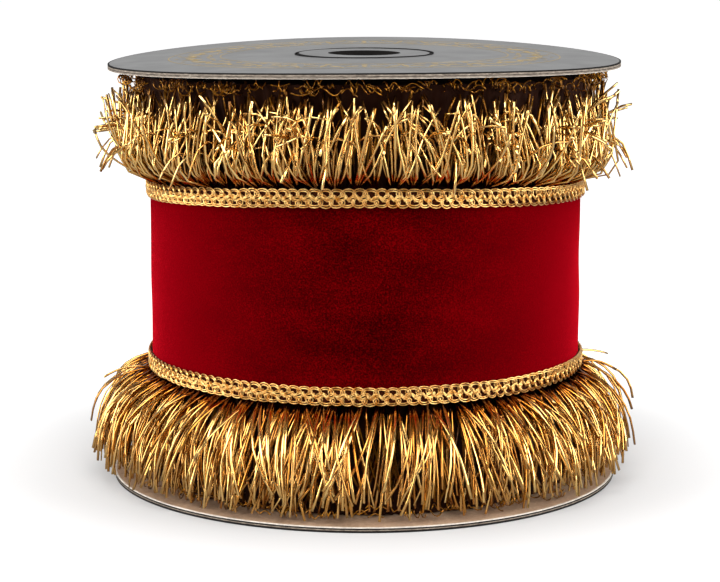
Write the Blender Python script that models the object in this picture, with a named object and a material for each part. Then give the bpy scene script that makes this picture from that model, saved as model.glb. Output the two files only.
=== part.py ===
"""Velvet trim with a tinsel fringe, wound on a card spool.

Metres, +Z up. The spool stands on its bottom flange, and its axis is the
Z axis. The origin is the centre of the bottom flange's underside. The
front of the spool faces -Y, and the trim's outer end lies at the back.
"""

import math
import random

import bmesh
import bpy

MM = 0.001

# Clearance between two pieces that touch on the real spool.
GAP = 0.3 * MM

# Card spool: two discs on a card tube, and a small hub disc in each.
FLANGE_RADIUS = 63.5 * MM
CARD = 1.3 * MM
FLANGE_BOW = 1.8 * MM        # how far the top flange droops at its two sides
FLANGE_TILT = 0.006          # rise of the top flange towards +X, as a slope
HUB_RADIUS = 16.6 * MM
HUB_BORE = 9.0 * MM
HUB_PROUD = 0.3 * MM         # how far the top hub stands above its flange
TUBE_RADIUS = 18.8 * MM
TUBE_WALL = 4.3 * MM

# Trim: velvet 2 inches wide, a braid on each edge, 1 inch of fringe beyond.
BRAID_WIDTH = 4.75 * MM
BRAID_THICKNESS = 0.85 * MM
BRAID_GROOVE = 0.3 * MM
BRAID_ROWS = 3
VELVET_RADIUS = 53.8 * MM
LAP_STEP = 1.2 * MM            # rise of the outer turn from its start to its end
LAP_ANGLE = math.radians(92)   # where the outer turn ends, at the back
NECK_RADIUS = 50.8 * MM      # the winding just beyond the velvet's edges
NECK_HEIGHT = 3.8 * MM
BUNCH_RADIUS = 57.0 * MM     # the inner turns' fringe, bunched at each flange
WAIST_RADIUS = 55.6 * MM     # the same fringe, halfway to the velvet
VELVET_BOTTOM = 27.6 * MM
VELVET_TOP = 78.6 * MM
TOP_FLANGE_Z = 104.1 * MM    # underside of the top flange on the axis

# The winding sags at the left and right, under the bowed flange.
UPPER_SAG = 3.6 * MM

# Fringe: locks of tinsel that fan out from a narrow strip below each braid.
LOCKS = 96
LOCKS_IN_BUNCH = 4
BUNCH_PULL = 0.25            # how far a bunch's tips close up, as a share
STRIP_HEIGHT = 2.6 * MM
STRIP_THICKNESS = 2.2 * MM
# A row for each ring of points along a lock: reach from the strip's wall,
# run from the strip's middle towards the flange, and the lock's section.
LOCK_ROWS = (
    {"reach": 3.6 * MM, "run": 3.0 * MM, "wide": 3.2 * MM, "thick": 1.9 * MM},
    {"reach": 8.6 * MM, "run": 10.5 * MM, "wide": 3.0 * MM, "thick": 1.5 * MM},
    {"reach": 12.2 * MM, "run": 19.5 * MM, "wide": 2.3 * MM, "thick": 0.9 * MM},
)
TIP_REACH_VARIES = 2.0 * MM
TIP_RUN_VARIES = 1.3 * MM

ROUND_STEPS = 72
SMALL_ROUND_STEPS = 36

TUBE_BOTTOM = CARD + GAP
TUBE_TOP = TOP_FLANGE_Z - 0.5 * MM
WINDING_BOTTOM = CARD + GAP
WINDING_TOP = TOP_FLANGE_Z - 2.5 * MM


def clear_scene():
    """Remove what a new Blender file holds."""
    for item in list(bpy.data.objects):
        bpy.data.objects.remove(item, do_unlink=True)


def make_material(name, colour, roughness, metallic=0.0):
    """A Principled material of one colour."""
    material = bpy.data.materials.new(name)
    material.use_nodes = True
    shader = material.node_tree.nodes["Principled BSDF"]
    shader.inputs["Base Color"].default_value = (*colour, 1.0)
    shader.inputs["Roughness"].default_value = roughness
    shader.inputs["Metallic"].default_value = metallic
    return material


def turned(section, steps):
    """Spin a closed section of (radius, height) points once round the Z axis."""
    mesh = bmesh.new()
    corners = [mesh.verts.new((radius, 0.0, height)) for radius, height in section]
    sides = [mesh.edges.new((a, b)) for a, b in zip(corners, corners[1:] + corners[:1])]
    bmesh.ops.spin(
        mesh,
        geom=corners + sides,
        cent=(0.0, 0.0, 0.0),
        axis=(0.0, 0.0, 1.0),
        angle=math.tau,
        steps=steps,
        use_merge=True,
    )
    bmesh.ops.recalc_face_normals(mesh, faces=mesh.faces)
    return mesh


def add_piece(name, mesh, material):
    """Turn the finished mesh into a named object with smooth round faces."""
    data = bpy.data.meshes.new(name)
    mesh.to_mesh(data)
    mesh.free()
    data.shade_smooth()
    data.set_sharp_from_angle(angle=math.radians(35))
    data.materials.append(material)
    piece = bpy.data.objects.new(name, data)
    bpy.context.collection.objects.link(piece)
    return piece


def blend(value, low, high, at_low, at_high):
    """Go in a straight line from at_low to at_high as value crosses low to high."""
    share = min(1.0, max(0.0, (value - low) / (high - low)))
    return at_low + share * (at_high - at_low)


def sag_at(height):
    """How far the winding sags at its two sides, at a height."""
    top_sag = FLANGE_BOW * (VELVET_RADIUS / FLANGE_RADIUS) ** 2
    if height < VELVET_TOP:
        return blend(height, VELVET_BOTTOM, VELVET_TOP, 0.0, UPPER_SAG)
    return blend(height, VELVET_TOP, WINDING_TOP, UPPER_SAG, top_sag)


def settle(mesh):
    """Lower each point of the winding by its sag, most at the left and right."""
    for point in mesh.verts:
        x, y, height = point.co
        spread = max(math.hypot(x, y), VELVET_RADIUS)
        point.co.z = height - sag_at(height) * (x / spread) ** 2


def lap_at(angle):
    """The outer turn climbs once round, from its start to its end at the back."""
    turn = ((angle - LAP_ANGLE) / math.tau) % 1.0
    return LAP_STEP * (turn - 0.5)


def follow_lap(mesh, bottom, top):
    """Move the outer points between two heights in or out with the spiral."""
    for point in mesh.verts:
        x, y, height = point.co
        radius = math.hypot(x, y)
        if radius > NECK_RADIUS + GAP and bottom - GAP < height < top + GAP:
            scale = 1.0 + lap_at(math.atan2(y, x)) / radius
            point.co.x = x * scale
            point.co.y = y * scale


def disc_with_hole(outer, bore, bottom, top, steps):
    """A flat card ring."""
    section = [(bore, bottom), (outer, bottom), (outer, top), (bore, top)]
    return turned(section, steps)


def make_bottom_flange(card):
    mesh = disc_with_hole(FLANGE_RADIUS, HUB_RADIUS + GAP, 0.0, CARD, ROUND_STEPS)
    add_piece("bottom_flange", mesh, card)


def make_top_flange(card):
    """The top flange is bent about the Y axis, so its two sides droop."""
    bands = 3
    bore = HUB_RADIUS + GAP
    radii = [bore + (FLANGE_RADIUS - bore) * band / bands for band in range(bands + 1)]
    under = [(radius, TOP_FLANGE_Z) for radius in radii]
    over = [(radius, TOP_FLANGE_Z + CARD) for radius in reversed(radii)]
    mesh = turned(under + over, ROUND_STEPS)
    for point in mesh.verts:
        x = point.co.x
        point.co.z += FLANGE_TILT * x - FLANGE_BOW * (x / FLANGE_RADIUS) ** 2
    add_piece("top_flange", mesh, card)


def make_core(card):
    """The card tube, and the two hub discs that close its ends round the bore."""
    tube = disc_with_hole(
        TUBE_RADIUS, TUBE_RADIUS - TUBE_WALL, TUBE_BOTTOM, TUBE_TOP, SMALL_ROUND_STEPS
    )
    add_piece("core_tube", tube, card)
    bottom = disc_with_hole(HUB_RADIUS, HUB_BORE, 0.0, CARD, SMALL_ROUND_STEPS)
    add_piece("bottom_hub", bottom, card)
    top = disc_with_hole(
        HUB_RADIUS,
        HUB_BORE,
        TUBE_TOP + GAP,
        TOP_FLANGE_Z + CARD + HUB_PROUD,
        SMALL_ROUND_STEPS,
    )
    add_piece("top_hub", top, card)


def make_roll(velvet):
    """The whole winding: velvet in the middle, bunched fringe at both ends."""
    bore = TUBE_RADIUS + GAP
    lower_neck = VELVET_BOTTOM - NECK_HEIGHT
    upper_neck = VELVET_TOP + NECK_HEIGHT
    section = [
        (bore, WINDING_BOTTOM),
        (BUNCH_RADIUS, WINDING_BOTTOM),
        (WAIST_RADIUS, 0.5 * (WINDING_BOTTOM + lower_neck)),
        (NECK_RADIUS, lower_neck),
        (NECK_RADIUS, VELVET_BOTTOM),
        (VELVET_RADIUS, VELVET_BOTTOM),
        (VELVET_RADIUS, VELVET_TOP),
        (NECK_RADIUS, VELVET_TOP),
        (NECK_RADIUS, upper_neck),
        (WAIST_RADIUS, 0.5 * (WINDING_TOP + upper_neck)),
        (BUNCH_RADIUS, WINDING_TOP),
        (bore, WINDING_TOP),
    ]
    mesh = turned(section, ROUND_STEPS)
    follow_lap(mesh, VELVET_BOTTOM, VELVET_TOP)
    settle(mesh)
    add_piece("velvet_roll", mesh, velvet)


def make_braid(name, bottom, gold):
    """A braid round the velvet: one ridge for each row of its stitches."""
    inner = VELVET_RADIUS + GAP
    crest = inner + BRAID_THICKNESS
    row = BRAID_WIDTH / BRAID_ROWS
    section = [(inner, bottom), (crest - BRAID_GROOVE, bottom)]
    for index in range(BRAID_ROWS):
        section.append((crest, bottom + row * (index + 0.5)))
        section.append((crest - BRAID_GROOVE, bottom + row * (index + 1)))
    section.append((inner, bottom + BRAID_WIDTH))
    mesh = turned(section, ROUND_STEPS)
    follow_lap(mesh, bottom, bottom + BRAID_WIDTH)
    settle(mesh)
    add_piece(name, mesh, gold)


def lock_tips(seed, roots):
    """How each lock of a fringe differs: its angle, lean sideways, reach and run."""
    chance = random.Random(seed)
    tips = []
    for root in roots:
        place = int(root % math.tau / math.tau * LOCKS) % LOCKS_IN_BUNCH
        place -= 0.5 * (LOCKS_IN_BUNCH - 1)
        tips.append(
            {
                "angle": root,
                "lean": -place * BUNCH_PULL + chance.uniform(-0.12, 0.12),
                "reach": chance.uniform(-TIP_REACH_VARIES, TIP_REACH_VARIES),
                "run": chance.uniform(-TIP_RUN_VARIES, TIP_RUN_VARIES),
            }
        )
    return tips


def grow_lock(face, tip, row, share, middle, side):
    """Move a lock's new end face out along its curve, and size it."""
    reach = NECK_RADIUS + GAP + STRIP_THICKNESS + row["reach"] + tip["reach"] * share
    rise = side * (row["run"] + tip["run"] * share)
    turn = tip["angle"] + tip["lean"] * share * math.tau / LOCKS
    across = (-math.sin(turn), math.cos(turn))
    centre = face.calc_center_median()
    # A lock leans out like a petal, so its thickness runs out and away.
    slope = math.radians(45)
    for point in face.verts:
        offset = point.co - centre
        flank = math.copysign(0.5 * row["wide"], offset.x * across[0] + offset.y * across[1])
        lift = math.copysign(0.5 * row["thick"], side * offset.z)
        radius = reach - lift * math.sin(slope)
        point.co.x = radius * math.cos(turn) + flank * across[0]
        point.co.y = radius * math.sin(turn) + flank * across[1]
        point.co.z = middle + rise + side * lift * math.cos(slope)


def make_fringe(name, middle, side, seed, gold):
    """A strip with a lock on each facet of its outer wall.

    side is 1 where the fringe runs up from its strip, and -1 where it runs down.
    """
    inner = NECK_RADIUS + GAP
    outer = inner + STRIP_THICKNESS
    mesh = disc_with_hole(
        outer, inner, middle - 0.5 * STRIP_HEIGHT, middle + 0.5 * STRIP_HEIGHT, LOCKS
    )
    # Each wall face carries its lock's number, which its extrusions inherit.
    number = mesh.faces.layers.int.new("lock")
    wall = 0.5 * (inner + outer)
    faces = []
    roots = []
    for face in mesh.faces:
        centre = face.calc_center_median()
        if abs(face.normal.z) < 0.5 and math.hypot(*centre.xy) > wall:
            face[number] = len(faces)
            faces.append(face)
            roots.append(math.atan2(centre.y, centre.x))
    tips = lock_tips(seed, roots)
    for step, row in enumerate(LOCK_ROWS, start=1):
        faces = bmesh.ops.extrude_discrete_faces(mesh, faces=faces)["faces"]
        share = (step / len(LOCK_ROWS)) ** 2
        for face in faces:
            grow_lock(face, tips[face[number]], row, share, middle, side)
    bmesh.ops.recalc_face_normals(mesh, faces=mesh.faces)
    settle(mesh)
    add_piece(name, mesh, gold)


clear_scene()

card_black = make_material("black_coated_card", (0.012, 0.012, 0.013), 0.35)
card_plain = make_material("grey_board", (0.45, 0.40, 0.34), 0.8)
velvet_red = make_material("red_velvet", (0.28, 0.004, 0.012), 0.85)
gold_braid = make_material("gold_braid", (0.72, 0.48, 0.16), 0.35, 0.8)
gold_tinsel = make_material("gold_tinsel", (0.80, 0.52, 0.16), 0.25, 0.9)

make_bottom_flange(card_plain)
make_top_flange(card_black)
make_core(card_plain)
make_roll(velvet_red)
make_braid("lower_braid", VELVET_BOTTOM, gold_braid)
make_braid("upper_braid", VELVET_TOP - BRAID_WIDTH, gold_braid)
make_fringe("lower_fringe", VELVET_BOTTOM - 0.5 * NECK_HEIGHT, -1, 11, gold_tinsel)
make_fringe("upper_fringe", VELVET_TOP + 0.5 * NECK_HEIGHT, 1, 23, gold_tinsel)
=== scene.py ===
# %% [markdown]
# This lesson dresses a spool of velvet trim. The real object is a wide red
# velvet ribbon with a crocheted gold braid and a tinsel fringe along both
# edges, wound on a round card spool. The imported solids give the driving
# sizes, and each piece below takes its place from them.

# %% Load the frame
import math

import bpy
import numpy as np
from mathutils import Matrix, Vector


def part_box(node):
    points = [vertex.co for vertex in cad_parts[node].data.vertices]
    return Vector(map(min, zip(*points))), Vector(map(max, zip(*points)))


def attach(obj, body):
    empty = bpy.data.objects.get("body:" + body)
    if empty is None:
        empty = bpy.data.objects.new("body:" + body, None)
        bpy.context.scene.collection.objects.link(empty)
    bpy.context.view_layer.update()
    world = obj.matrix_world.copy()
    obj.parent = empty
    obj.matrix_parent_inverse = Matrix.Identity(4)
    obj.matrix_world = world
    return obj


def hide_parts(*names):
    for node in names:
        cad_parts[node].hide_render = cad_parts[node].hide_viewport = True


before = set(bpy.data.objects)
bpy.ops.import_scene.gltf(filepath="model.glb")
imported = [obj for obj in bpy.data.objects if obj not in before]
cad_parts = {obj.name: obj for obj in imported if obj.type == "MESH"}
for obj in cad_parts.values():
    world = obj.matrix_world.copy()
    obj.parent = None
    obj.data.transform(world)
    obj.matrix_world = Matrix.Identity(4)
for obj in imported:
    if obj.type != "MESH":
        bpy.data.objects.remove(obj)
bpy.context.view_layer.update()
print("solids:", sorted(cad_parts))

# %% [markdown]
# Driving sizes first. The flange, the card, the tube and the velvet's two
# edges are read from the solids' boxes. The others are written as numbers:
# the hub, the bow of the flange, the spiral of the last turn, how far the
# fringe reaches, and strands about three quarters of a millimetre wide.

# %% Sizes
MM = 0.001
_, flange_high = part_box("bottom_flange")
lower_low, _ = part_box("lower_braid")
_, upper_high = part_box("upper_braid")
top_low, top_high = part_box("top_flange")
_, tube_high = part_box("core_tube")

FLANGE_RADIUS = flange_high[0]
CARD = flange_high[2]
TUBE_RADIUS = tube_high[0]
TOP_Z = tube_high[2] + 0.5 * MM
FLANGE_BOW = 1.8 * MM
FLANGE_TILT = 0.006
HUB_RADIUS = 16.6 * MM
HUB_BORE = 9.0 * MM
HUB_PROUD = 0.05 * MM
VELVET_RADIUS = 53.8 * MM
LAP_STEP = 1.2 * MM
LAP_ANGLE = math.radians(92)
BRAID_WIDTH = 4.75 * MM
LOWER_EDGE = lower_low[2]
UPPER_EDGE = upper_high[2]
UPPER_SAG = 3.6 * MM
STRAND_WIDTH = 0.78 * MM
STRAND_THICKNESS = 0.46 * MM
LOWER_REACH = 70.0 * MM
UPPER_REACH = 68.5 * MM
SOFT_REACH = 6 * MM
print("flange radius mm", round(FLANGE_RADIUS / MM, 2), "velvet edges mm",
      round(LOWER_EDGE / MM, 2), round(UPPER_EDGE / MM, 2), "top flange mm",
      round(top_low[2] / MM, 2), round(top_high[2] / MM, 2))

# %% [markdown]
# The bowed top flange presses on the winding, so the upper edge of the trim
# sags a little at the left and right. One function holds that sag, and all
# the pieces of the trim go through it. A second one gives the bow of the
# flange, a third the spiral of the outer turn, and a fourth makes smooth
# random waves round the roll. The last carries points to a new radius.

# %% Shapes that several pieces share
def sag(x, y, z):
    """How far a point of the winding is lowered."""
    top_sag = FLANGE_BOW * (VELVET_RADIUS / FLANGE_RADIUS) ** 2
    heights = [LOWER_EDGE, UPPER_EDGE, TOP_Z]
    amount = np.interp(z, heights, [0.0, UPPER_SAG, top_sag])
    spread = np.maximum(np.hypot(x, y), VELVET_RADIUS)
    return amount * (x / spread) ** 2


def flange_drop(x):
    """How far the top flange lies below its own middle."""
    return FLANGE_BOW * (x / FLANGE_RADIUS) ** 2 - FLANGE_TILT * x


def lap(angle):
    """How far the outer turn stands out, climbing once round from the back."""
    return LAP_STEP * (((angle - LAP_ANGLE) / math.tau) % 1.0 - 0.5)


def wander(rng, terms, lowest=2):
    """A smooth random function of the angle, between about -1 and 1."""
    waves = np.arange(lowest, lowest + terms)
    phases = rng.uniform(0, math.tau, terms)
    sizes = rng.uniform(0.5, 1.0, terms)
    sizes /= sizes.sum() ** 0.5

    def value(angle):
        angle = np.asarray(angle)[..., None]
        return (sizes * np.sin(waves * angle + phases)).sum(-1)

    return value


def push_out(x, y, z, radius, pushed):
    """Carry points from one radius to another, and lower them by the sag."""
    x, y = x * pushed / radius, y * pushed / radius
    return x, y, z - sag(x, y, z)


# %% [markdown]
# Colours are written as the sRGB hex values that an eye would pick, and one
# function makes them linear. One more function adds a shader node with its
# settings and its incoming links, and the last puts an object in the scene.

# %% Colour, node and object helpers
def linear(hex_colour):
    """A linear RGBA colour from an sRGB hex value."""
    channels = [int(hex_colour[i:i + 2], 16) / 255 for i in (1, 3, 5)]
    made = [c / 12.92 if c <= 0.04045 else ((c + 0.055) / 1.055) ** 2.4 for c in channels]
    return (*made, 1.0)


def add(tree, kind, links=None, values=None, **settings):
    """Add one node: its settings, its sockets' values, and links into it."""
    node = tree.nodes.new(kind)
    for name, setting in settings.items():
        setattr(node, name, setting)
    for name, value in (values or {}).items():
        node.inputs[name].default_value = value
    for name, source in (links or {}).items():
        tree.links.new(source, node.inputs[name])
    return node


def new_material(name, **shader_values):
    """A material, its node tree and its Principled shader."""
    material = bpy.data.materials.new(name)
    material.use_nodes = True
    tree = material.node_tree
    shader = tree.nodes["Principled BSDF"]
    for socket, value in shader_values.items():
        shader.inputs[socket.replace("_", " ")].default_value = value
    return material, tree, shader


def ramp(tree, factor, stops):
    """A colour ramp node from (place, hex colour) stops."""
    node = add(tree, "ShaderNodeValToRGB", {"Fac": factor})
    elements = node.color_ramp.elements
    while len(elements) < len(stops):
        elements.new(0.5)
    for element, (place, colour) in zip(elements, stops):
        element.position = place
        element.color = linear(colour)
    return node.outputs["Color"]


def put_object(name, data):
    """An object with this data, linked into the scene."""
    made = bpy.data.objects.new(name, data)
    bpy.context.collection.objects.link(made)
    return made


# %% [markdown]
# The tinsel is polyester film with a vapour of aluminium under a gold
# lacquer, slit and twisted into thin wiry strands. To the eye it is a metal:
# cream where it mirrors the lamps and ochre on its flanks. Near the roots it
# lies in shade and mirrors the velvet, and that red-brown is painted into its
# colour: a mesh attribute holds each strand's tone, and the ramp runs down to
# a red-brown root colour, a painted shade and painted reflection. A slow
# noise varies how sharply it mirrors, as slit film does.

# %% Tinsel material
def make_tinsel(name, light, dark, root, roughness):
    material, tree, shader = new_material(name, Metallic=1.0, Coat_Weight=0.35,
                                          Coat_Roughness=0.12)
    tone = add(tree, "ShaderNodeAttribute", attribute_name="tone")
    # Tone 0 is the root colour: painted shade and painted reflection of the velvet.
    colour = ramp(tree, tone.outputs["Fac"], [(0.0, root), (0.35, dark), (1.0, light)])
    tree.links.new(colour, shader.inputs["Base Color"])
    where = add(tree, "ShaderNodeTexCoord")
    wear = add(tree, "ShaderNodeTexNoise", {"Vector": where.outputs["Object"]},
               {"Scale": 1 / (4.0 * MM), "Detail": 1.0})
    spread = add(tree, "ShaderNodeMapRange", {"Value": wear.outputs["Fac"]},
                 {"To Min": roughness - 0.08, "To Max": roughness + 0.08})
    tree.links.new(spread.outputs["Result"], shader.inputs["Roughness"])
    return material


tinsel_gold = make_tinsel("gold_lacquered_polyester_film",
                          "#F6CE80", "#AE6E14", "#6A2400", 0.20)
# A darker copy of the film, as painted shade, colours the strands and curls of the inner
# turns, which lie in shadow.
tinsel_shade = make_tinsel("gold_film_painted_shade_inner_turns",
                           "#A06A12", "#4E2A04", "#2C0E00", 0.28)
# Behind the strands the pressed turns lie in shadow; their film is painted a deep matt brown
# as painted shade.
pressed_fringe, _, _ = new_material("pressed_fringe_painted_shade", Roughness=0.8,
                                    Base_Color=linear("#220B01"), Specular_IOR_Level=0.1)
print("made", tinsel_gold.name, "and", tinsel_shade.name)

# %% [markdown]
# The braid's yarn is the same film wrapped round a cotton core and crocheted,
# so it is a softer gold: each loop is made of many fine filaments. A fine
# noise of 0.35 mm raises the surface a little and stands for the wrap.

# %% Braid material
def make_braid_yarn():
    material, tree, shader = new_material("gold_wrapped_crochet_yarn", Metallic=0.95,
                                          Coat_Weight=0.25, Coat_Roughness=0.15)
    where = add(tree, "ShaderNodeTexCoord")
    mottle = add(tree, "ShaderNodeTexNoise", {"Vector": where.outputs["Object"]},
                 {"Scale": 1 / (1.1 * MM), "Detail": 3.0})
    colour = ramp(tree, mottle.outputs["Fac"], [(0.3, "#C07818"), (0.7, "#FAD688")])
    tree.links.new(colour, shader.inputs["Base Color"])
    wrap = add(tree, "ShaderNodeTexNoise", {"Vector": where.outputs["Object"]},
               {"Scale": 1 / (0.35 * MM), "Detail": 2.0})
    bump = add(tree, "ShaderNodeBump", {"Height": wrap.outputs["Fac"]},
               {"Strength": 0.3, "Distance": 0.08 * MM})
    tree.links.new(bump.outputs["Normal"], shader.inputs["Normal"])
    shader.inputs["Roughness"].default_value = 0.28
    return material


braid_gold = make_braid_yarn()
# The lower legs are the same gold yarn; their dark brown is painted shade.
braid_legs_shade, _, _ = new_material("braid_legs_painted_shade", Roughness=0.8,
                                   Base_Color=linear("#3A1502"), Specular_IOR_Level=0.1)
print("made", braid_gold.name, "and", braid_legs_shade.name)

# %% [markdown]
# Velvet is a cloth with a short dense pile. Light that meets the pile head on
# sinks in, so it looks nearly black-red face on, and light that grazes the
# tips scatters back, so it glows crimson towards the edges of the roll. The
# shader's sheen does part of that, and the rest is painted sheen: a Layer
# Weight node mixes a brighter red into the base colour at grazing angles. The
# pile also leans in patches where it was brushed, which a stretched noise
# paints as soft lighter and darker strokes, and a fine noise of 0.35 mm gives
# the speckle of the tufts.

# %% Velvet material
def make_velvet():
    material, tree, shader = new_material("red_rayon_velvet", Roughness=0.95)
    shader.inputs["Specular IOR Level"].default_value = 0.0
    shader.inputs["Sheen Weight"].default_value = 1.0
    shader.inputs["Sheen Roughness"].default_value = 0.30
    shader.inputs["Sheen Tint"].default_value = linear("#FF1A2E")
    where = add(tree, "ShaderNodeTexCoord")
    stretched = add(tree, "ShaderNodeMapping", {"Vector": where.outputs["Object"]},
                    {"Scale": (1.0, 1.0, 2.6), "Rotation": (0.2, 0.35, 0.0)})
    strokes = add(tree, "ShaderNodeTexNoise", {"Vector": stretched.outputs["Vector"]},
                  {"Scale": 1 / (22 * MM), "Detail": 3.0, "Roughness": 0.5})
    tufts = add(tree, "ShaderNodeTexNoise", {"Vector": where.outputs["Object"]},
                {"Scale": 1 / (0.35 * MM), "Detail": 2.0})
    both = add(tree, "ShaderNodeMix", values={0: 0.68}, data_type="FLOAT")
    tree.links.new(strokes.outputs["Fac"], both.inputs[2])
    tree.links.new(tufts.outputs["Fac"], both.inputs[3])
    deep = ramp(tree, both.outputs[0],
                [(0.36, "#220001"), (0.50, "#3E0001"), (0.64, "#5E0003")])
    # Painted sheen: the base colour turns to a brighter red at grazing angles.
    grazing = add(tree, "ShaderNodeLayerWeight", values={"Blend": 0.5})
    share = add(tree, "ShaderNodeMapRange", {"Value": grazing.outputs["Facing"]},
                {"From Min": 0.02, "From Max": 0.55})
    pile = add(tree, "ShaderNodeMix", {0: share.outputs["Result"], 6: deep},
               {7: linear("#660006")}, data_type="RGBA")
    tree.links.new(pile.outputs[2], shader.inputs["Base Color"])
    bump = add(tree, "ShaderNodeBump", {"Height": tufts.outputs["Fac"]},
               {"Strength": 0.55, "Distance": 0.25 * MM})
    tree.links.new(bump.outputs["Normal"], shader.inputs["Normal"])
    return material


velvet_red = make_velvet()
print("made", velvet_red.name)

# %% [markdown]
# The spool is die-cut from grey board lined with black coated paper. The
# coating is smooth and slightly glossy, and the grey back is matt, with the
# short fibres and flecks of recycled pulp. The cut edge shows the plies as
# thin lines: dark cut paper, mottled grey board and a pale burr.

# %% Card materials
def make_black_card():
    material, tree, shader = new_material("black_coated_paper", IOR=1.5, Roughness=0.30)
    where = add(tree, "ShaderNodeTexCoord")
    cloud = add(tree, "ShaderNodeTexNoise", {"Vector": where.outputs["Object"]},
                {"Scale": 1 / (9 * MM), "Detail": 4.0})
    colour = ramp(tree, cloud.outputs["Fac"], [(0.3, "#191919"), (0.7, "#232323")])
    tree.links.new(colour, shader.inputs["Base Color"])
    rough = add(tree, "ShaderNodeMapRange", {"Value": cloud.outputs["Fac"]},
                {"To Min": 0.24, "To Max": 0.38})
    tree.links.new(rough.outputs["Result"], shader.inputs["Roughness"])
    return material


def make_grey_board(name, light, dark):
    material, tree, shader = new_material(name, Roughness=0.85)
    where = add(tree, "ShaderNodeTexCoord")
    pulp = add(tree, "ShaderNodeTexNoise", {"Vector": where.outputs["Object"]},
               {"Scale": 1 / (0.9 * MM), "Detail": 6.0, "Roughness": 0.7})
    colour = ramp(tree, pulp.outputs["Fac"], [(0.35, dark), (0.65, light)])
    tree.links.new(colour, shader.inputs["Base Color"])
    bump = add(tree, "ShaderNodeBump", {"Height": pulp.outputs["Fac"]},
               {"Strength": 0.2, "Distance": 0.1 * MM})
    tree.links.new(bump.outputs["Normal"], shader.inputs["Normal"])
    return material


def make_cut_edge():
    material, tree, shader = new_material("die_cut_board_edge", Roughness=0.8)
    where = add(tree, "ShaderNodeTexCoord")
    fibres = add(tree, "ShaderNodeMapping", {"Vector": where.outputs["Object"]},
                 {"Scale": (1.0, 1.0, 5.0)})
    pulp = add(tree, "ShaderNodeTexNoise", {"Vector": fibres.outputs["Vector"]},
               {"Scale": 1 / (1.4 * MM), "Detail": 5.0, "Roughness": 0.75})
    colour = ramp(tree, pulp.outputs["Fac"],
                  [(0.30, "#3A322B"), (0.48, "#6E6256"), (0.62, "#8E8274"),
                   (0.80, "#CFC6BA")])
    tree.links.new(colour, shader.inputs["Base Color"])
    return material


black_card = make_black_card()
grey_board = make_grey_board("uncoated_grey_board", "#B89A7E", "#9E8065")
rim_paper = make_grey_board("white_paper_burr", "#E6DED2", "#C2B8AC")
kraft_tube = make_grey_board("brown_kraft_tube", "#8D7155", "#6A5038")
cut_edge = make_cut_edge()
# Matt near-black: the cut black paper in the plies, and painted shade on the walls of the
# bores and on the ring round the top hole.
paper_cut_and_shade, _, _ = new_material("black_paper_cut_and_painted_shade", Base_Color=linear("#0E0B09"),
                               Roughness=0.9, Specular_IOR_Level=0.2)
CARD_MATERIALS = [black_card, grey_board, cut_edge, paper_cut_and_shade, rim_paper]
print("made", [material.name for material in CARD_MATERIALS + [kraft_tube]])

# %% [markdown]
# A long thin shape such as a strand or a yarn is a tube: a small ring of
# points carried along a path. This helper sweeps thousands of paths at once
# with arrays, closes each tube at both ends, and joins them in one mesh, so
# that a whole fringe is one object. Each path's ring is turned by its own
# angle, so that flat strands catch the light differently.

# %% Sweep many paths into one mesh
STRAND_POINTS = 8
# Share of each strand's length, from the root, that is darkened as painted shade.
ROOT_SHADE_SHARE = 0.30
PLAIN_TONE = 0.5
TINY = 1e-9


def sweep(name, paths, wide, thick, sides, material, roll=None, tone=None):
    """paths is (strands, points, 3). Returns one object of closed tubes."""
    strands, points, _ = paths.shape
    run = np.gradient(paths, axis=1)
    run /= np.linalg.norm(run, axis=2, keepdims=True)
    out = paths * (1.0, 1.0, 0.0)
    out /= np.linalg.norm(out, axis=2, keepdims=True) + TINY
    flat = np.cross(run, out + (0.0, 0.0, 0.02))
    flat /= np.linalg.norm(flat, axis=2, keepdims=True) + TINY
    deep = np.cross(run, flat)
    spin = np.arange(sides) / sides * math.tau + math.pi / sides
    turn = np.zeros(strands) if roll is None else roll
    turn = turn[:, None, None]
    x = np.cos(spin) * wide / 2
    y = np.sin(spin) * thick / 2
    a = x * np.cos(turn) - y * np.sin(turn)
    b = x * np.sin(turn) + y * np.cos(turn)
    ring = (paths[:, :, None, :] + a[..., None] * flat[:, :, None]
            + b[..., None] * deep[:, :, None])
    index = np.arange(strands * points * sides).reshape(strands, points, sides)
    near, far = index[:, :-1], index[:, 1:]
    quads = np.stack([near, np.roll(near, -1, 2), np.roll(far, -1, 2), far], -1)
    faces = quads.reshape(-1, 4).tolist()
    faces += index[:, 0, ::-1].tolist() + index[:, -1].tolist()
    mesh = bpy.data.meshes.new(name)
    mesh.from_pydata(ring.reshape(-1, 3).tolist(), [], faces)
    mesh.shade_smooth()
    mesh.materials.append(material)
    shade = np.full((strands, 1), PLAIN_TONE) if tone is None else tone
    shade = np.broadcast_to(shade, (strands, points))
    layer = mesh.attributes.new("tone", "FLOAT", "POINT")
    layer.data.foreach_set("value", np.repeat(shade, sides).astype(np.float32))
    piece = put_object(name, mesh)
    print(name, "strands", strands, "triangles", len(faces) * 2)
    return piece


def strand_tones(rng, a, b, count):
    """A tone for each point: each strand has its own, and all are dark at the root, a
    painted shade and painted reflection of the velvet.
    """
    tone = 0.35 + 0.65 * rng.beta(a, b, count)[:, None]
    along = np.clip(np.linspace(0, 1, STRAND_POINTS) / ROOT_SHADE_SHARE, 0, 1)
    return tone * (along * along * (3 - 2 * along))[None, :]


def dress(piece, node):
    """The piece rides on the root body and stands for its solid, which is hidden."""
    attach(piece, "root")
    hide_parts(node)


# %% [markdown]
# Each fringe strand is worked out as it hangs. It leaves the braid at a
# steep outward lean and bends towards the flange as it goes, so its lean is
# a function of the distance along it, and adding up small steps of that
# distance gives the curve. Strands share bundles at the root, as the fringe's
# sewing gathers them, and each fans a little to its own side. The handling
# of the spool presses the fringe back, so its reach has a soft limit.

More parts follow.
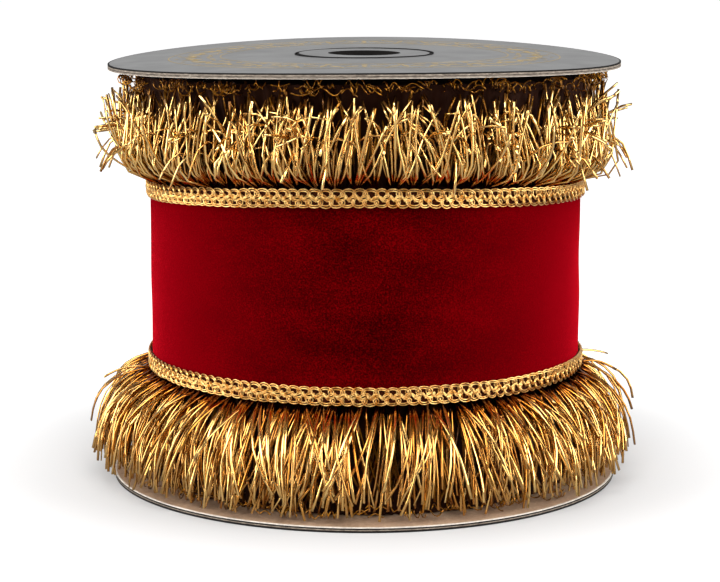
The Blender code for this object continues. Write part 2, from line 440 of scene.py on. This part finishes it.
# %% Curves of fringe strands
def fringe_paths(rng, count, bundles, root_radius, length, lean, bend, side,
                 fan=12.0, drift=12.0, spread=0.9, knee=(0.45, 0.5), curl=14.0):
    """Paths of one layer of fringe. lean and bend are (mean, spread) in degrees.

    root_radius is a range and length a (mean, spread), both in mm. side is 1
    above the velvet and -1 below it. fan and drift, in degrees, turn strands of
    a bundle apart and whole bundles sideways, and spread is half a bundle's
    width in mm. knee is where along a strand it bends, and how softly, as
    shares of its length. curl, in degrees, is how far the tips turn sideways.
    """
    bundle = rng.integers(0, bundles, count)
    place = rng.uniform(-1, 1, count)
    centre = bundle / bundles * math.tau
    radius = rng.uniform(*root_radius, count) * MM
    angle = centre + (place * spread + rng.normal(0, 0.15, count)) * MM / radius
    group_lean = rng.normal(0, 1.0, bundles)[bundle]
    sideways = np.radians(place * fan + group_lean * 0.45 * drift
                          + drift * 1.1 * wander(rng, 5, 3)(centre)
                          + rng.normal(0, 4.0, count))
    twist = np.radians(rng.normal(0, curl, count))
    start = np.radians(rng.normal(*lean, count))
    finish = np.radians(rng.normal(*bend, count))
    reach = rng.normal(*length, count) * MM
    share = np.linspace(0, 1, STRAND_POINTS)
    fine = (share[:-1] + share[1:]) / 2
    bent = np.clip((fine - knee[0] + knee[1]) / (2 * knee[1]), 0, 1)
    bent = bent * bent * (3 - 2 * bent)
    tilt = start[:, None] + (finish - start)[:, None] * bent
    sway = sideways[:, None] + twist[:, None] * fine ** 2
    step = reach[:, None] / (STRAND_POINTS - 1)
    out = np.cumsum(np.sin(tilt) * np.cos(sway) * step, 1)
    along = np.cumsum(np.cos(tilt) * np.cos(sway) * step, 1)
    across = np.cumsum(np.sin(sway) * step, 1)
    zero = np.zeros((count, 1))
    out, along, across = [np.hstack([zero, part]) for part in (out, along, across)]
    far = radius[:, None] + out
    free = (UPPER_REACH if side > 0 else LOWER_REACH) - SOFT_REACH
    far = np.where(far > free, free + SOFT_REACH * np.tanh((far - free) / SOFT_REACH), far)
    turn = angle[:, None] + across / np.maximum(far, radius[:, None])
    root = UPPER_EDGE if side > 0 else LOWER_EDGE
    z = root + side * along
    return np.stack([far * np.cos(turn), far * np.sin(turn), z], -1)


def settle(paths, rng):
    """Sag the paths with the winding, and keep them between the two flanges."""
    x, y, z = paths[..., 0], paths[..., 1], paths[..., 2]
    z = z - sag(x, y, z)
    slack = rng.uniform(0.3, 2.6, len(paths))[:, None] * MM
    inside = np.hypot(x, y) < FLANGE_RADIUS + 1.5 * MM
    ceiling = TOP_Z - flange_drop(x) - slack
    floor = CARD + 0.35 * MM + 0.4 * slack
    z = np.where(inside & (z > ceiling), ceiling, z)
    z = np.where(inside & (z < floor), floor, z)
    return np.stack([x, y, z], -1)


# %% [markdown]
# The lower fringe hangs like a skirt. Its outer layer is lit and lively, a
# second layer of the turns behind fills the gaps in the darker copy of the
# film, as painted shade, and a few strays stick out where the film was bent.

# %% Lower fringe
rng = np.random.default_rng(3)
outer = [
    fringe_paths(rng, 560, 92, (52.8, 54.4), (26.4, 1.4), (60, 9), (8, 10), -1,
                 drift=9.0, spread=0.8),
    fringe_paths(rng, 420, 92, (51.5, 53.8), (25.8, 1.2), (38, 9), (9, 9), -1, drift=9.0),
    fringe_paths(rng, 26, 118, (53.0, 54.4), (23.0, 1.5), (76, 8), (44, 12), -1),
    fringe_paths(rng, 8, 118, (54.0, 55.0), (12.0, 3.0), (84, 9), (66, 12), -1),
]
outer = settle(np.concatenate(outer), rng)
# The outer strands take darker tones than the upper fringe's, as painted shade, because the
# lamps and the floor light them more.
lower_fringe = sweep(
    "lower_tinsel_fringe", outer, STRAND_WIDTH, STRAND_THICKNESS, 4, tinsel_gold,
    roll=rng.uniform(0, math.pi, len(outer)), tone=strand_tones(rng, 1.6, 2.6, len(outer)))
dress(lower_fringe, "lower_fringe")

inner = [
    fringe_paths(rng, 700, 200, (46.0, 51.5), (24.4, 1.0), (22, 8), (6, 7), -1),
]
inner = settle(np.concatenate(inner), rng)
lower_inner = sweep(
    "lower_inner_turns_fringe", inner, STRAND_WIDTH, STRAND_THICKNESS, 3, tinsel_shade,
    roll=rng.uniform(0, math.pi, len(inner)), tone=strand_tones(rng, 2, 3, len(inner)))
dress(lower_inner, "lower_fringe")

# %% [markdown]
# The upper fringe stands up under the top flange. Most strands leave the
# braid leaning well out, then turn up in fans of about four millimetres.
# Others come from turns further in, arch over and hang down outside, and
# some swing far to one side near their tips.

# %% Upper fringe
rng = np.random.default_rng(8)
outer = [
    fringe_paths(rng, 600, 74, (52.8, 54.4), (23.2, 2.0), (56, 8), (-13, 14), 1,
                 fan=19.0, drift=9.0, spread=0.8, knee=(0.36, 0.14), curl=24.0),
    fringe_paths(rng, 110, 37, (51.0, 53.0), (23.5, 1.2), (18, 6), (100, 15), 1,
                 fan=9.0, drift=14.0, spread=1.4, knee=(0.58, 0.30)),
    fringe_paths(rng, 64, 37, (51.0, 53.5), (21.5, 2.0), (26, 7), (150, 12), 1,
                 fan=9.0, drift=12.0, spread=1.4, knee=(0.52, 0.30)),
    fringe_paths(rng, 100, 74, (51.0, 53.5), (24.0, 1.5), (26, 8), (60, 40), 1,
                 fan=16.0, spread=1.2, knee=(0.72, 0.20), curl=110.0),
    fringe_paths(rng, 20, 74, (53.0, 54.4), (22.0, 1.5), (60, 8), (34, 15), 1),
]
outer = settle(np.concatenate(outer), rng)
# The outer strands take lighter tones than the lower fringe's, as painted light, because the
# top flange shades them.
upper_fringe = sweep(
    "upper_tinsel_fringe", outer, STRAND_WIDTH, STRAND_THICKNESS, 4, tinsel_gold,
    roll=rng.uniform(0, math.pi, len(outer)), tone=strand_tones(rng, 3.2, 1.5, len(outer)))
dress(upper_fringe, "upper_fringe")

inner = [
    fringe_paths(rng, 700, 200, (46.0, 51.5), (23.0, 1.0), (26, 9), (-6, 12), 1),
]
inner = settle(np.concatenate(inner), rng)
# The inner turns take the darker copy of the film, as painted shade.
upper_inner = sweep(
    "upper_inner_turns_fringe", inner, STRAND_WIDTH, STRAND_THICKNESS, 3, tinsel_shade,
    roll=rng.uniform(0, math.pi, len(inner)), tone=strand_tones(rng, 2, 3, len(inner)))
dress(upper_inner, "upper_fringe")

# %% [markdown]
# Against both flanges the tips of the inner turns are pressed flat. They run
# along the card for a few millimetres in slack loops, each a circle drawn out
# along the rim, and lie in the shadow of the outer strands, which the darker
# copy of the film paints as shade.

# %% Curls pressed against the flanges
CURL_POINTS = 12
CURL_WIDTH = 0.34 * MM
CURL_THICKNESS = 0.30 * MM
CARD_CLEARANCE = 0.4 * MM


def pressed_curls(rng, name, node, count, radii, surface, side):
    """Curls along a flange. surface(x) is its height, side the way out of it."""
    along = np.linspace(0, 1, CURL_POINTS)
    middle = rng.uniform(0, math.tau, count)[:, None]
    run = rng.uniform(1.0, 4.5, count)[:, None] * MM
    waves = rng.uniform(0.5, 1.6, count)[:, None] * math.tau
    phase = rng.uniform(0, math.tau, count)[:, None]
    swing = rng.uniform(0.3, 1.4, count)[:, None] * MM
    far = rng.uniform(*radii, count)[:, None] * MM + swing * np.cos(waves * along + phase)
    turn = middle + run * (along - 0.5) / far
    x, y = far * np.cos(turn), far * np.sin(turn)
    lift = rng.uniform(1.6, 3.6, count)[:, None] * MM + swing * np.sin(waves * along + phase)
    z = surface(x) + side * np.maximum(lift, CARD_CLEARANCE)
    curls = sweep(name, np.stack([x, y, z], -1), CURL_WIDTH, CURL_THICKNESS, 4,
                  tinsel_shade, tone=0.6 + 0.4 * rng.random((count, 1)))
    dress(curls, node)


pressed_curls(rng, "upper_pressed_curls", "upper_fringe", 280, (55.5, 60.5),
              lambda x: TOP_Z - flange_drop(x), -1)
pressed_curls(rng, "lower_pressed_curls", "lower_fringe", 300, (55.5, 61.5),
              lambda x: CARD + 0 * x, 1)

# %% [markdown]
# A turned shape is a closed outline of (radius, height) carried round the
# axis. This helper makes one from arrays, lets a function move every point,
# and gives each side of the outline its own material.

# %% Turn an outline round the axis
SHARP_ANGLE = math.radians(32)


def turn_outline(name, outline, steps, materials, sides=None, move=None):
    """outline is a closed list of (radius, z). sides gives each edge's material."""
    outline = np.array(outline)
    angle = np.arange(steps) / steps * math.tau
    x = outline[None, :, 0] * np.cos(angle)[:, None]
    y = outline[None, :, 0] * np.sin(angle)[:, None]
    z = np.broadcast_to(outline[None, :, 1], x.shape)
    if move is not None:
        x, y, z = move(x, y, z)
    corners = len(outline)
    index = np.arange(steps * corners).reshape(steps, corners)
    after = np.roll(index, -1, 0)
    quads = np.stack([index, after, np.roll(after, -1, 1), np.roll(index, -1, 1)], -1)
    mesh = bpy.data.meshes.new(name)
    mesh.from_pydata(np.stack([x, y, z], -1).reshape(-1, 3).tolist(), [],
                     quads.reshape(-1, 4).tolist())
    for material in materials:
        mesh.materials.append(material)
    if sides is not None:
        mesh.polygons.foreach_set("material_index", np.tile(sides, steps))
    mesh.shade_smooth()
    mesh.set_sharp_from_angle(angle=SHARP_ANGLE)
    piece = put_object(name, mesh)
    print(name, "triangles", steps * corners * 2)
    return piece


# %% [markdown]
# Behind the strands the roll is not empty: the fringe of every inner turn is
# pressed together there. It is one finely grooved body, painted a dark matt
# brown as painted shade, so that gaps between the strands look into shadow
# and not through the roll. The velvet turns sit between the two bunches, and
# their outer wall has the spiral of the last turn, a soft waviness and the
# end lapped at the back.

# %% Winding
rng = np.random.default_rng(5)
BORE = TUBE_RADIUS + 0.3 * MM
NECK = 50.0 * MM
BUNCH = 53.5 * MM
BUNCH_FLARE = 2.4 * MM
GROOVE_DEPTH = 0.35 * MM
WAVE_DEPTH = 0.10 * MM
LOW_WAVE_DEPTH = 0.08 * MM
VELVET_ROWS = 28
groove = wander(rng, 60, 60)
groove_fine = wander(rng, 60, 150)


def bunch_move(x, y, z):
    """Groove the outer wall of the bunched fringe, and sag it."""
    radius = np.hypot(x, y)
    angle = np.arctan2(y, x)
    amount = np.where(radius > NECK - MM, GROOVE_DEPTH, 0.0)
    pushed = radius + amount * (groove(angle) + groove_fine(angle + z * 3.0))
    return push_out(x, y, z, radius, pushed)


def make_bunch(name, bottom, top, flared_at_top):
    """The pressed fringe of one side, with its neck at the velvet."""
    flare = BUNCH_FLARE if flared_at_top else 0.0
    ring = [(NECK, 0.0), (NECK + 0.2 * MM, 0.25), (BUNCH - MM, 0.55),
            (BUNCH + 0.4 * flare, 0.8), (BUNCH + flare, 1.0)]
    if not flared_at_top:
        ring = [(radius, 1.0 - share) for radius, share in reversed(ring)]
    wall = [(radius, bottom + share * (top - bottom)) for radius, share in ring]
    outline = [(BORE, bottom), *wall, (BORE, top)]
    return turn_outline(name, outline, 720, [pressed_fringe], move=bunch_move)


lower_bunch = make_bunch("lower_bunched_turns", CARD + 0.3 * MM,
                         LOWER_EDGE - 0.2 * MM, False)
upper_bunch = make_bunch("upper_bunched_turns", UPPER_EDGE - 2.3 * MM,
                         TOP_Z - 2.0 * MM, True)
for bunch in (lower_bunch, upper_bunch):
    dress(bunch, "velvet_roll")

ripple = wander(rng, 9, 3)
ripple_low = wander(rng, 7, 2)


def velvet_move(x, y, z):
    """Give the velvet its spiral, a soft waviness and the sag of the roll."""
    radius = np.hypot(x, y)
    angle = np.arctan2(y, x)
    height = (z - LOWER_EDGE) / (UPPER_EDGE - LOWER_EDGE)
    soft = WAVE_DEPTH * ripple(angle + 0.8 * height)
    soft = soft + LOW_WAVE_DEPTH * ripple_low(angle - 2.2 * height)
    middle = np.sin(math.pi * np.clip(height, 0, 1))
    outside = radius > NECK
    pushed = np.where(outside, radius + lap(angle) + soft * middle, radius)
    return push_out(x, y, z, radius, pushed)


VELVET_LOW, VELVET_HIGH = LOWER_EDGE + 0.9 * MM, UPPER_EDGE - 2.6 * MM
heights = np.linspace(VELVET_LOW, VELVET_HIGH, VELVET_ROWS)
wall = [(VELVET_RADIUS, z) for z in heights]
outline = [(BORE, VELVET_LOW), *wall, (BORE, VELVET_HIGH)]
velvet = turn_outline("velvet_turns", outline, 360, [velvet_red], move=velvet_move)
dress(velvet, "velvet_roll")

# %% [markdown]
# The braid is a crocheted gimp of three rows: a chain of wide arcs along the
# top, the same turned over along the bottom, and two yarns of smaller loops
# that link them. A chain of loops is a trochoid, the curve that a point
# beside a rolling wheel draws, and it steps in and out where it crosses
# itself. Each stitch is worked with a doubled yarn, so every path is drawn
# twice, one inside the other. Behind them a dark brown ground stands for the
# lower legs of gold yarn in shadow: a painted shade.

# %% Braids
STITCHES = 134
PER_STITCH = 12
YARN = 0.31 * MM
ARC_ROW = 1.28 * MM
ARC_HEIGHT = 0.88 * MM
LINK_HEIGHT = 0.74 * MM
STAND = 0.74 * MM
INNER_STAND = 0.70 * MM
INNER_SHARE = 0.45


def yarn_path(rng, row, loop, height, depth, phase, base_z, stand):
    """One yarn round the roll. loop is how far it doubles back in a stitch."""
    t = np.arange(STITCHES * PER_STITCH) / PER_STITCH
    beat = math.tau * t + phase
    uneven = np.repeat(rng.normal(0, 1, (3, STITCHES)), PER_STITCH, axis=1)
    blur = np.hanning(PER_STITCH + 3)
    uneven = np.array([np.convolve(np.tile(u, 3), blur / blur.sum(), "same")
                       [len(t):2 * len(t)] for u in uneven])
    along = t - loop * (1 + 0.15 * uneven[0]) * np.sin(beat) + 0.06 * uneven[1]
    z = base_z + row + height * (1 + 0.10 * uneven[2]) * np.cos(beat)
    lift = depth * np.sin(beat) + 0.05 * MM * uneven[1]
    angle = along / STITCHES * math.tau
    radius = VELVET_RADIUS + stand + lap(angle) + lift
    x, y = radius * np.cos(angle), radius * np.sin(angle)
    return np.stack([x, y, z - sag(x, y, z)], -1)


def braid_move(x, y, z):
    """Give the braid's ground the spiral of the outer turn and the sag."""
    radius = np.hypot(x, y)
    return push_out(x, y, z, radius, radius + lap(np.arctan2(y, x)))


def make_braid(name, node, bottom, seed):
    """The yarns of one braid as one piece, and behind them the lower legs in painted shade.
    """
    middle = bottom + BRAID_WIDTH / 2
    deep = 0.24 * MM
    yarns = []
    for share, stand in ((1.0, STAND), (INNER_SHARE, INNER_STAND)):
        rows = [(ARC_ROW, -0.36 * share - 0.06, ARC_HEIGHT * share, deep, 0.0),
                (-ARC_ROW, 0.36 * share + 0.06, ARC_HEIGHT * share, deep, math.pi),
                (0.0, 0.24 * share, LINK_HEIGHT * share, deep, 1.1),
                (0.0, -0.24 * share, LINK_HEIGHT * share, -deep, 2.7)]
        for number, (row, loop, height, depth, phase) in enumerate(rows):
            rng = np.random.default_rng(seed * 10 + number)
            yarns.append(yarn_path(rng, row, loop, height, depth, phase, middle, stand))
    paths = np.stack([np.vstack([yarn, yarn[:1]]) for yarn in yarns])
    yarn = sweep(name, paths, YARN, YARN, 5, braid_gold)
    dress(yarn, node)

    inner, outer = VELVET_RADIUS + 0.1 * MM, VELVET_RADIUS + 0.36 * MM
    edge = 0.55 * MM
    legs_shade_outline = [(inner, bottom + edge), (outer, bottom + edge),
              (outer, bottom + BRAID_WIDTH - edge), (inner, bottom + BRAID_WIDTH - edge)]
    legs_shade = turn_outline(name + "_legs_painted_shade", legs_shade_outline, 360, [braid_legs_shade],
                           move=braid_move)
    dress(legs_shade, node)


make_braid("lower_crochet_braid", "lower_braid", LOWER_EDGE, 21)
make_braid("upper_crochet_braid", "upper_braid", UPPER_EDGE - BRAID_WIDTH, 22)

# %% [markdown]
# Each flange is a sandwich: a black outer liner, plies of board, and a bare
# grey inner face whose cut rim shows as a thin pale burr. Seen from the side,
# the plies are thin lines, so the outline below has a side for each of them.

# %% Flanges and hubs
BLACK, BOARD, EDGE, CUT_AND_SHADE, BURR = range(5)
BOTTOM_PLIES = [(0.38, CUT_AND_SHADE), (0.20, EDGE), (0.26, CUT_AND_SHADE), (0.16, BURR)]
TOP_PLIES = [(0.07, BURR), (0.28, EDGE), (0.10, CUT_AND_SHADE), (0.29, EDGE), (0.26, CUT_AND_SHADE)]
DISC_STEPS = 256
SHADE_RING_STEPS = 192
SHADE_RING_WIDTH = 0.2 * MM


def card_disc(name, node, radius, bore, under, over, plies, under_face, over_face,
              move):
    """A lined board ring. plies are (share of the thickness, material) from below."""
    thick = over - under
    round_off, edge = 0.03 * thick, radius - 0.12 * MM
    flat = np.linspace(bore, edge - 0.28 * MM, 7)
    levels = under + thick * np.cumsum([share for share, _ in plies])
    rim = [(edge, under), (radius, under + round_off)]
    rim += [(radius, level) for level in levels[:-1]]
    rim += [(radius, over - round_off), (edge, over)]
    outline = [(r, under) for r in flat] + rim + [(r, over) for r in reversed(flat)]
    shown = [ply for _, ply in plies]
    sides = [under_face] * (len(flat) - 1) + [shown[0]] * 2 + shown
    # The wall of the bore takes the matt black as painted shade.
    sides += [shown[-1]] * 2 + [over_face] * (len(flat) - 1) + [CUT_AND_SHADE]
    disc = turn_outline(name, outline, DISC_STEPS, CARD_MATERIALS, sides=sides, move=move)
    dress(disc, node)


def bow(x, y, z):
    """Bow and tilt points as the top flange is."""
    return x, y, z - flange_drop(x)


FLANGE_BORE = HUB_RADIUS + 0.5 * MM
card_disc("bottom_card_disc", "bottom_flange", FLANGE_RADIUS, FLANGE_BORE,
          0.0, CARD, BOTTOM_PLIES, BLACK, BOARD, None)
card_disc("top_card_disc", "top_flange", FLANGE_RADIUS, FLANGE_BORE,
          TOP_Z, TOP_Z + CARD, TOP_PLIES, BOARD, BLACK, bow)
card_disc("bottom_card_hub", "bottom_hub", HUB_RADIUS, HUB_BORE,
          0.0, CARD, BOTTOM_PLIES, BLACK, BOARD, None)
card_disc("top_card_hub", "top_hub", HUB_RADIUS, HUB_BORE,
          TOP_Z - 0.2 * MM, TOP_Z + CARD + HUB_PROUD, TOP_PLIES, BOARD, BLACK, None)

# A thin raised ring of matt black round the hole is painted shade: it stands for the shadow
# in the gap round the hub, which outlines the hub from afar.
TOP_FACE = TOP_Z + CARD
shade_ring_low, shade_ring_high = TOP_FACE - 0.1 * MM, TOP_FACE + 0.2 * MM
shade_ring_outline = [(FLANGE_BORE, shade_ring_low), (FLANGE_BORE + SHADE_RING_WIDTH, shade_ring_low),
                (FLANGE_BORE + SHADE_RING_WIDTH, shade_ring_high), (FLANGE_BORE, shade_ring_high)]
hole_shade_ring = turn_outline("top_hole_shade_ring", shade_ring_outline, SHADE_RING_STEPS, [paper_cut_and_shade], move=bow)
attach(hole_shade_ring, "root")

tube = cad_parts["core_tube"]
tube.data.materials.clear()
tube.data.materials.append(kraft_tube)

# %% [markdown]
# A plain ring of gold foil is printed round the top flange: leaves, dots and
# two thin border lines, each a very thin plate that follows the bow of the
# card. Foil on black card is a dull gold from a low view.

# %% Printed foil ring
foil, _, _ = new_material("printed_gold_foil", Base_Color=linear("#A98F55"),
                          Metallic=0.8, Roughness=0.45)
REPEATS = 28
FOIL_MIDDLE = 0.66 * FLANGE_RADIUS
FOIL_LIFT = 0.005 * MM
FOIL_THICKNESS = 0.03 * MM
LEAF_POINTS = 14
LEAF_TURN = 0.9
LINE_HALF_WIDTH = 0.15 * MM


def leaf(centre_angle, radius, length, width, turn):
    """The outline of one leaf in the flange's plane."""
    t = np.linspace(0, math.tau, LEAF_POINTS, endpoint=False)
    along = length / 2 * np.cos(t)
    across = width / 2 * np.sin(t) * (1 - 0.45 * np.cos(t))
    x = along * math.cos(turn) - across * math.sin(turn)
    y = along * math.sin(turn) + across * math.cos(turn)
    outward = radius + x
    return (outward * math.cos(centre_angle) - y * math.sin(centre_angle),
            outward * math.sin(centre_angle) + y * math.cos(centre_angle))


def foil_outlines():
    """The leaves and dots of the whole ring: three leaves, a dot, a dash, a dot."""
    outlines = []
    step = math.tau / REPEATS
    for index in range(REPEATS):
        angle = index * step
        between = angle + step / 2
        for turn in (-LEAF_TURN, 0.0, LEAF_TURN):
            length = 5.2 * MM if turn == 0.0 else 4.0 * MM
            shift = 0.30 * step * (turn / LEAF_TURN)
            outlines.append(leaf(angle + shift, FOIL_MIDDLE + 1.2 * MM, length,
                                 1.3 * MM, turn))
        outlines.append(leaf(angle, FOIL_MIDDLE - 3.6 * MM, 1.6 * MM, 1.6 * MM, 0.0))
        outlines.append(leaf(between, FOIL_MIDDLE - 3.2 * MM, 3.0 * MM, 0.9 * MM,
                             math.pi / 2))
        outlines.append(leaf(between, FOIL_MIDDLE + 4.6 * MM, 1.0 * MM, 1.0 * MM, 0.0))
    return outlines


points, faces = [], []
for x, y in foil_outlines():
    first, count = len(points), len(x)
    for lift in (FOIL_LIFT, FOIL_THICKNESS):
        points += [(a, b, TOP_FACE - flange_drop(a) + lift) for a, b in zip(x, y)]
    below = list(range(first, first + count))
    above = list(range(first + count, first + 2 * count))
    faces += [below[::-1], above]
    faces += [(below[i], below[(i + 1) % count], above[(i + 1) % count], above[i])
              for i in range(count)]
mesh = bpy.data.meshes.new("foil_leaf_ring")
mesh.from_pydata(points, [], faces)
mesh.materials.append(foil)
foil_ring = put_object("foil_leaf_ring", mesh)
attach(foil_ring, "root")
print("foil_leaf_ring plates", REPEATS * 6, "faces", len(faces))

for name, radius in (("foil_inner_line", FOIL_MIDDLE - 6.2 * MM),
                     ("foil_outer_line", FOIL_MIDDLE + 6.6 * MM)):
    inner, outer = radius - LINE_HALF_WIDTH, radius + LINE_HALF_WIDTH
    below, above = TOP_FACE + FOIL_LIFT, TOP_FACE + FOIL_THICKNESS
    outline = [(inner, below), (outer, below), (outer, above), (inner, above)]
    line = turn_outline(name, outline, DISC_STEPS, [foil], move=bow)
    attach(line, "root")

# %% [markdown]
# The stage is a white sweep in a dim room, as a product is shot. The white
# wall behind the spool gives the black card its grey gloss and the velvet
# its bright outline, and the dim room in front keeps the gold's flanks dark.
# Soft lamps at both sides and above make the cream streaks. The sweep is
# overexposed: the camera sees the wall as plain white, and for the camera
# alone the floor gives off light, which grows with distance from the spool,
# so that a soft shadow stays at its foot.

# %% Floor, lamps and world
FLOOR_REACH = 8.0
floor_mesh = bpy.data.meshes.new("studio_floor")
floor_corners = [(-FLOOR_REACH, -FLOOR_REACH, 0), (FLOOR_REACH, -FLOOR_REACH, 0),
                 (FLOOR_REACH, FLOOR_REACH, 0), (-FLOOR_REACH, FLOOR_REACH, 0)]
floor_mesh.from_pydata(floor_corners, [], [(0, 1, 2, 3)])
floor_material, tree, shader = new_material("white_paper_sweep", Roughness=0.9,
                                            Base_Color=linear("#A8A8A8"),
                                            Emission_Color=linear("#FFFFFF"))
where = add(tree, "ShaderNodeTexCoord")
away = add(tree, "ShaderNodeVectorMath", {0: where.outputs["Object"]}, operation="LENGTH")
lift = add(tree, "ShaderNodeMapRange", {"Value": away.outputs["Value"]},
           {"From Min": 0.062, "From Max": 0.14, "To Min": 0.2, "To Max": 0.85})
path = add(tree, "ShaderNodeLightPath")
glow = add(tree, "ShaderNodeMath",
           {0: path.outputs["Is Camera Ray"], 1: lift.outputs["Result"]},
           operation="MULTIPLY")
tree.links.new(glow.outputs[0], shader.inputs["Emission Strength"])
floor_mesh.materials.append(floor_material)
floor = put_object("studio_floor", floor_mesh)
floor.location.z = -0.05 * MM

AIM = Vector((0, 0, 0.05))


def area_lamp(name, place, size, power):
    """A soft box of size (width, height) in metres that faces the spool."""
    lamp = bpy.data.lights.new(name, "AREA")
    lamp.shape = "RECTANGLE"
    lamp.size, lamp.size_y = size
    lamp.energy = power
    holder = put_object(name, lamp)
    holder.location = place
    holder.rotation_euler = (AIM - holder.location).to_track_quat("-Z", "Y").to_euler()
    print(name, "watts", power)


area_lamp("left_softbox", (-0.92, -0.30, 0.20), (0.8, 0.7), 15.0)
area_lamp("right_softbox", (0.92, -0.30, 0.20), (0.8, 0.7), 15.0)
area_lamp("top_softbox", (0.0, -0.75, 0.92), (0.9, 0.5), 16.0)

world = bpy.data.worlds.new("white_sweep_in_a_dim_room")
bpy.context.scene.world = world
world.use_nodes = True
tree = world.node_tree
backdrop = tree.nodes["Background"]
backdrop.inputs["Color"].default_value = linear("#FFFFFF")
where = add(tree, "ShaderNodeTexCoord")
direction = add(tree, "ShaderNodeSeparateXYZ", {"Vector": where.outputs["Generated"]})
room = add(tree, "ShaderNodeMapRange", {"Value": direction.outputs["Y"]},
           {"From Min": 0.0, "From Max": 0.85, "To Min": 0.08, "To Max": 0.85})
path = add(tree, "ShaderNodeLightPath")
seen = add(tree, "ShaderNodeMix",
           {0: path.outputs["Is Camera Ray"], 2: room.outputs["Result"]},
           {3: 1.0}, data_type="FLOAT")
tree.links.new(seen.outputs[0], backdrop.inputs["Strength"])

# %% [markdown]
# The camera stands about 58 cm from the axis and a little above the top
# flange, and looks down at the middle of the roll by just under ten degrees.

# %% Camera
CAMERA_DISTANCE = 0.579
CAMERA_HEIGHT = 0.1462
LOOK_DOWN = math.radians(9.88)
FOCAL_PIXELS = 2323
SENSOR = 36.0
IMAGE_WIDTH = 720
camera_data = bpy.data.cameras.new("camera")
camera_data.sensor_width = SENSOR
camera_data.lens = FOCAL_PIXELS / IMAGE_WIDTH * SENSOR
camera_data.clip_start = 0.01
camera = put_object("camera", camera_data)
camera.location = (-1.05 * MM, -CAMERA_DISTANCE, CAMERA_HEIGHT)
camera.rotation_euler = (math.pi / 2 - LOOK_DOWN, 0, 0)
bpy.context.scene.camera = camera
bpy.context.scene.view_settings.view_transform = "Standard"
print("camera lens mm", round(camera_data.lens, 2))
